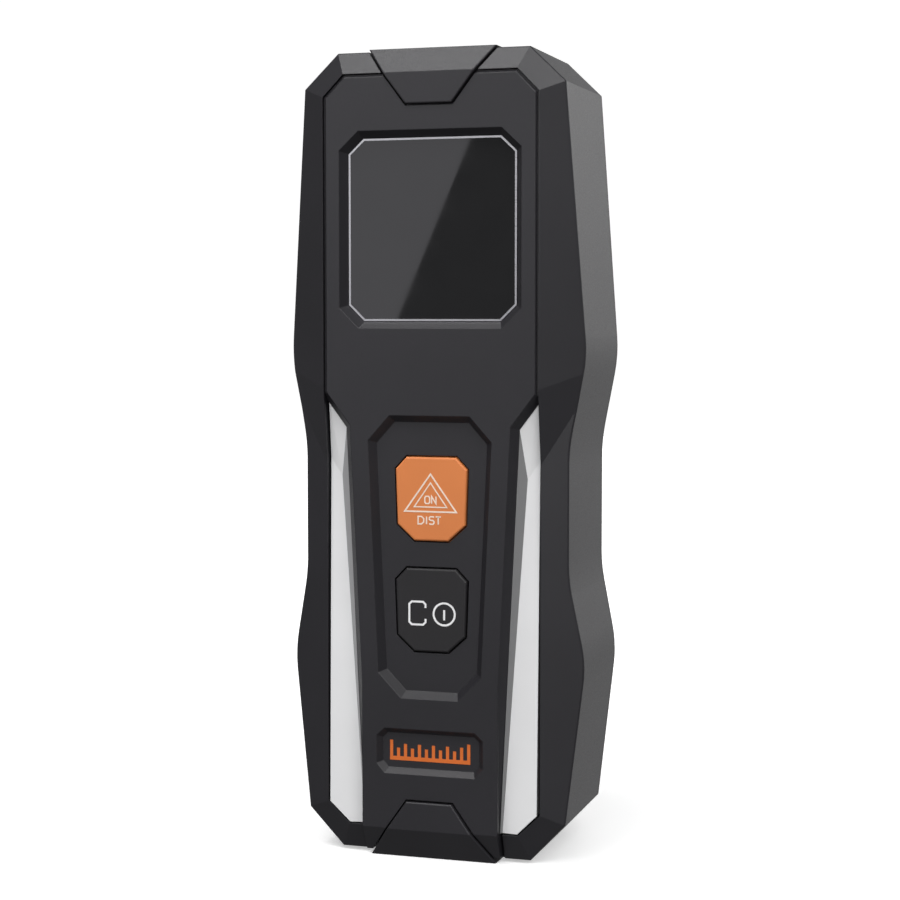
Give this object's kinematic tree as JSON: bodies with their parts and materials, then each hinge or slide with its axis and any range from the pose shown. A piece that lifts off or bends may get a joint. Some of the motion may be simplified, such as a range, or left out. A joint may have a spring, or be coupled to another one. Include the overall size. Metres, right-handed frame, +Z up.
{
  "type": "laser distance meter",
  "caption": "Upright pocket laser distance meter: faceted waisted case, square display, an orange measure key, a black clear/power key, laser windows on top.",
  "frame": {"origin": "centre of the overall box at its base, where the bottom end cap stands", "axes": "+Z up along the case towards the laser end; +X to the viewer's right when the display is faced; -Y out of the display, +Y out of the back"},
  "size_m": [0.0432, 0.025, 0.114],
  "materials": {
    "frame_plastic": "fine-grained matte charcoal",
    "faceplate_plastic": "fine-grained matte charcoal",
    "cover_plastic": "fine-grained matte charcoal",
    "door_plastic": "fine-grained matte charcoal",
    "cap_plastic": "fine-grained matte charcoal",
    "strip_plastic": "satin light grey",
    "orange_rubber": "soft satin orange",
    "black_rubber": "soft satin black",
    "window_acrylic": "polished, smoke-tinted",
    "optic_window": "polished, red-tinted",
    "silver_trim": "satin",
    "foam": "matte",
    "silicone": "matte translucent",
    "seal_rubber": "matte",
    "label_film": "satin, blank",
    "lcd_glass": "polished",
    "light_guide": "milky",
    "bracket_plastic": "matte",
    "flex_film": "amber film",
    "switch_plastic": "matte",
    "switch_button": "matte",
    "circuit_board": "solder mask",
    "chip_resin": "matte moulded",
    "shield_tin": "bright tin",
    "buzzer_case": "matte",
    "optics_casting": "matte black",
    "lens_glass": "polished",
    "barrel_brass": "turned",
    "cell_jacket": "printed jacket",
    "contact_steel": "nickel plated",
    "screw_steel": "zinc plated"
  },
  "bodies": {
    "case": {"housing_frame": "frame_plastic", "front_faceplate": "faceplate_plastic", "rear_cover": "cover_plastic", "accent_strip_right": "strip_plastic", "accent_strip_left": "strip_plastic", "top_end_cap": "cap_plastic", "bottom_end_cap": "cap_plastic", "receiver_window": "optic_window", "laser_window": "optic_window", "case_seal": "seal_rubber", "rear_label": "label_film", "display_window": "window_acrylic", "display_trim": "silver_trim", "display_gasket": "foam", "lcd_panel": "lcd_glass", "lcd_backlight": "light_guide", "lcd_bracket": "bracket_plastic", "lcd_flex": "flex_film", "keypad_membrane": "silicone", "measure_switch_body": "switch_plastic", "clear_switch_body": "switch_plastic", "main_board": "circuit_board", "board_chips": "chip_resin", "shield_can": "shield_tin", "buzzer": "buzzer_case", "optics_frame": "optics_casting", "receiver_lens": "lens_glass", "laser_lens": "lens_glass", "laser_barrel": "barrel_brass", "receiver_board": "circuit_board", "laser_board": "circuit_board", "optics_seal": "foam", "battery_cell_left": "cell_jacket", "battery_cell_right": "cell_jacket", "battery_springs": "contact_steel", "battery_terminal_left": "contact_steel", "battery_terminal_right": "contact_steel", "contact_bridge": "contact_steel", "case_screws": "screw_steel", "board_screws": "screw_steel", "optics_screws": "screw_steel"},
    "measure_key": {"measure_key": "orange_rubber", "measure_switch_plunger": "switch_button"},
    "clear_key": {"clear_key": "black_rubber", "clear_switch_plunger": "switch_button"},
    "battery_door": {"battery_door": "door_plastic", "door_pad": "foam"}
  },
  "joints": [
    {"name": "measure_key_press", "type": "slide", "parent": "case", "child": "measure_key", "axis": [0, 1, 0], "range_m": [0, 0.0004], "stiffness_N_per_m": 400, "deforming": ["keypad_membrane"]},
    {"name": "clear_key_press", "type": "slide", "parent": "case", "child": "clear_key", "axis": [0, 1, 0], "range_m": [0, 0.0004], "stiffness_N_per_m": 400, "deforming": ["keypad_membrane"]},
    {"name": "battery_door_hinge", "type": "hinge", "parent": "case", "child": "battery_door", "pos_m": [0, 0.0125, 0.011], "axis": [-1, 0, 0], "range_deg": [0, 75]}
  ]
}
